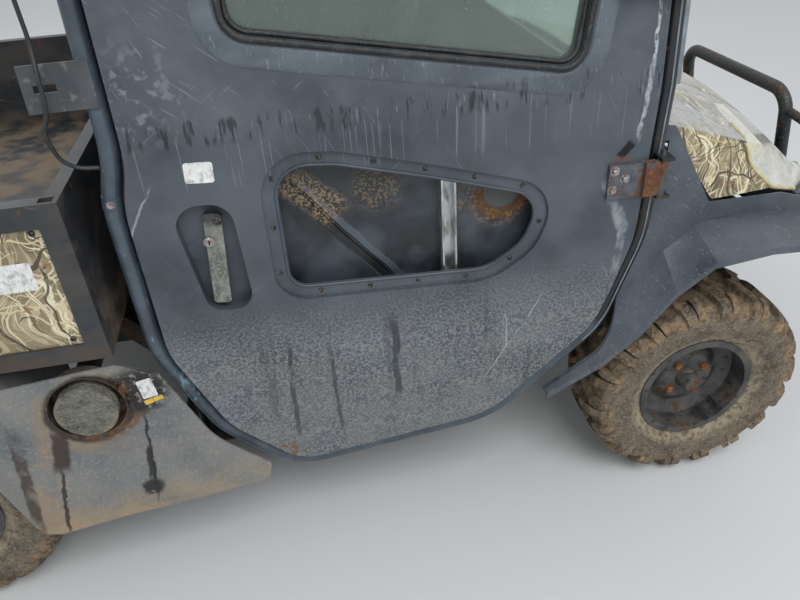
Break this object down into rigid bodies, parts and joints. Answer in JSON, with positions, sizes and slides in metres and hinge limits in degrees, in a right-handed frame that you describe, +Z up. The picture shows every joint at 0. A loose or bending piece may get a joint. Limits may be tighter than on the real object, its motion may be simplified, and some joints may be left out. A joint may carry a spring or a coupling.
{
  "type": "side by side utility vehicle",
  "caption": "Side by side utility vehicle with a hard cab, full doors, a steel tipping cargo bed, a tubular front guard and a camouflage bonnet.",
  "frame": {"origin": "on the ground, under the middle of the overall length and width", "axes": "+X forward, +Y to the driver's left, +Z up"},
  "size_m": [3.044, 1.6, 2.0225],
  "materials": {
    "black_steel": "satin",
    "tube_steel": "satin",
    "door_plastic": "satin",
    "fender_plastic": "satin",
    "camo_panel": "satin",
    "lamp_lens": "gloss",
    "red_lens": "gloss",
    "tyre_rubber": "matte",
    "rim_steel": "satin",
    "cast_case": "matte",
    "engine_cast": "matte",
    "glass": "gloss",
    "seat_vinyl": "matte",
    "inner_plastic": "matte",
    "bare_steel": "satin",
    "cable_jacket": "satin",
    "hinge_steel": "matte"
  },
  "bodies": {
    "chassis": {"bed_supports": "black_steel", "brush_guard": "tube_steel", "cab_floor": "inner_plastic", "cab_frame": "tube_steel", "cab_glass": "glass", "cab_rear_wall": "door_plastic", "chassis_members": "black_steel", "chassis_rails": "black_steel", "cowl": "fender_plastic", "dampers": "black_steel", "dashboard": "inner_plastic", "drive_cases": "cast_case", "drive_shafts": "black_steel", "engine_and_silencer": "engine_cast", "front_face": "fender_plastic", "front_fenders": "fender_plastic", "fuel_cap": "fender_plastic", "rear_fenders": "fender_plastic", "roof": "door_plastic", "roof_cable": "cable_jacket", "seat_backs": "seat_vinyl", "seat_base": "inner_plastic", "seat_cushions": "seat_vinyl", "suspension_arms": "black_steel", "tail_lamps": "red_lens"},
    "bed_body": {"bed": "black_steel", "bed_side_panels": "camo_panel"},
    "bonnet_body": {"bonnet": "camo_panel", "headlamps": "lamp_lens"},
    "door_left": {"door_left_fittings": "hinge_steel", "door_left_glass": "glass", "door_left_shell": "door_plastic"},
    "door_right": {"door_right_fittings": "hinge_steel", "door_right_glass": "glass", "door_right_shell": "door_plastic"},
    "knuckle_left": {"knuckle_front_left": "engine_cast"},
    "knuckle_right": {"knuckle_front_right": "engine_cast"},
    "lift_barrel": {"lift_barrel": "black_steel"},
    "lift_rod": {"lift_rod": "bare_steel"},
    "steering_rack": {"steering_rack": "bare_steel"},
    "steering_wheel": {"steering_wheel": "inner_plastic"},
    "tailgate": {"tailgate": "black_steel"},
    "wheel_front_left": {"rim_front_left": "rim_steel", "tyre_front_left": "tyre_rubber"},
    "wheel_front_right": {"rim_front_right": "rim_steel", "tyre_front_right": "tyre_rubber"},
    "wheel_rear_left": {"rim_rear_left": "rim_steel", "tyre_rear_left": "tyre_rubber"},
    "wheel_rear_right": {"rim_rear_right": "rim_steel", "tyre_rear_right": "tyre_rubber"}
  },
  "joints": [
    {"name": "steer_right", "type": "hinge", "parent": "chassis", "child": "knuckle_right", "pos_m": [1.045, -0.5, 0.31], "axis": [0, 0, 1], "range_deg": [-30, 30]},
    {"name": "steer_left", "type": "hinge", "parent": "chassis", "child": "knuckle_left", "pos_m": [1.045, 0.5, 0.31], "axis": [0, 0, 1], "range_deg": [-30.5, 30.5]},
    {"name": "rack_slide", "type": "slide", "parent": "chassis", "child": "steering_rack", "axis": [0, 1, 0], "range_m": [-0.055, 0.055]},
    {"name": "steering_wheel_turn", "type": "hinge", "parent": "chassis", "child": "steering_wheel", "pos_m": [0.37, 0.33, 1.085], "axis": [-0.8192, 0, 0.5736], "range_deg": [-310, 310]},
    {"name": "spin_front_right", "type": "hinge", "parent": "knuckle_right", "child": "wheel_front_right", "pos_m": [1.045, -0.62, 0.31], "axis": [0, 1, 0], "continuous": true},
    {"name": "spin_front_left", "type": "hinge", "parent": "knuckle_left", "child": "wheel_front_left", "pos_m": [1.045, 0.62, 0.31], "axis": [0, 1, 0], "continuous": true},
    {"name": "spin_rear_right", "type": "hinge", "parent": "chassis", "child": "wheel_rear_right", "pos_m": [-1, -0.62, 0.31], "axis": [0, 1, 0], "continuous": true},
    {"name": "spin_rear_left", "type": "hinge", "parent": "chassis", "child": "wheel_rear_left", "pos_m": [-1, 0.62, 0.31], "axis": [0, 1, 0], "continuous": true},
    {"name": "door_right_hinge", "type": "hinge", "parent": "chassis", "child": "door_right", "pos_m": [0.812, -0.756, 1.217], "axis": [0, 0, 1], "range_deg": [0, 75]},
    {"name": "door_left_hinge", "type": "hinge", "parent": "chassis", "child": "door_left", "pos_m": [0.812, 0.756, 1.217], "axis": [0, 0, -1], "range_deg": [0, 75]},
    {"name": "bonnet_hinge", "type": "hinge", "parent": "chassis", "child": "bonnet_body", "pos_m": [0.866, 0, 1.076], "axis": [0, -1, 0], "range_deg": [0, 50]},
    {"name": "bed_tilt", "type": "hinge", "parent": "chassis", "child": "bed_body", "pos_m": [-1.29, 0, 0.782], "axis": [0, -1, 0], "range_deg": [0, 45]},
    {"name": "tailgate_drop", "type": "hinge", "parent": "bed_body", "child": "tailgate", "pos_m": [-1.507, 0, 0.8], "axis": [0, -1, 0], "range_deg": [0, 90]},
    {"name": "lift_swing", "type": "hinge", "parent": "chassis", "child": "lift_barrel", "pos_m": [-1.12, 0, 0.54], "axis": [0, -1, 0], "range_deg": [0, 32]},
    {"name": "lift_stroke", "type": "slide", "parent": "lift_barrel", "child": "lift_rod", "axis": [0.6834, 0, 0.73], "range_m": [0, 0.21]}
  ],
  "couplings": [
    {"joint": "steer_left", "follows": "steer_right", "ratio": 1},
    {"joint": "rack_slide", "follows": "steer_right", "m_per_rad": -0.0955},
    {"joint": "steering_wheel_turn", "follows": "steer_right", "ratio": 10},
    {"joint": "lift_swing", "follows": "bed_tilt", "ratio": 0.6873},
    {"joint": "lift_stroke", "follows": "bed_tilt", "m_per_rad": 0.2581}
  ]
}
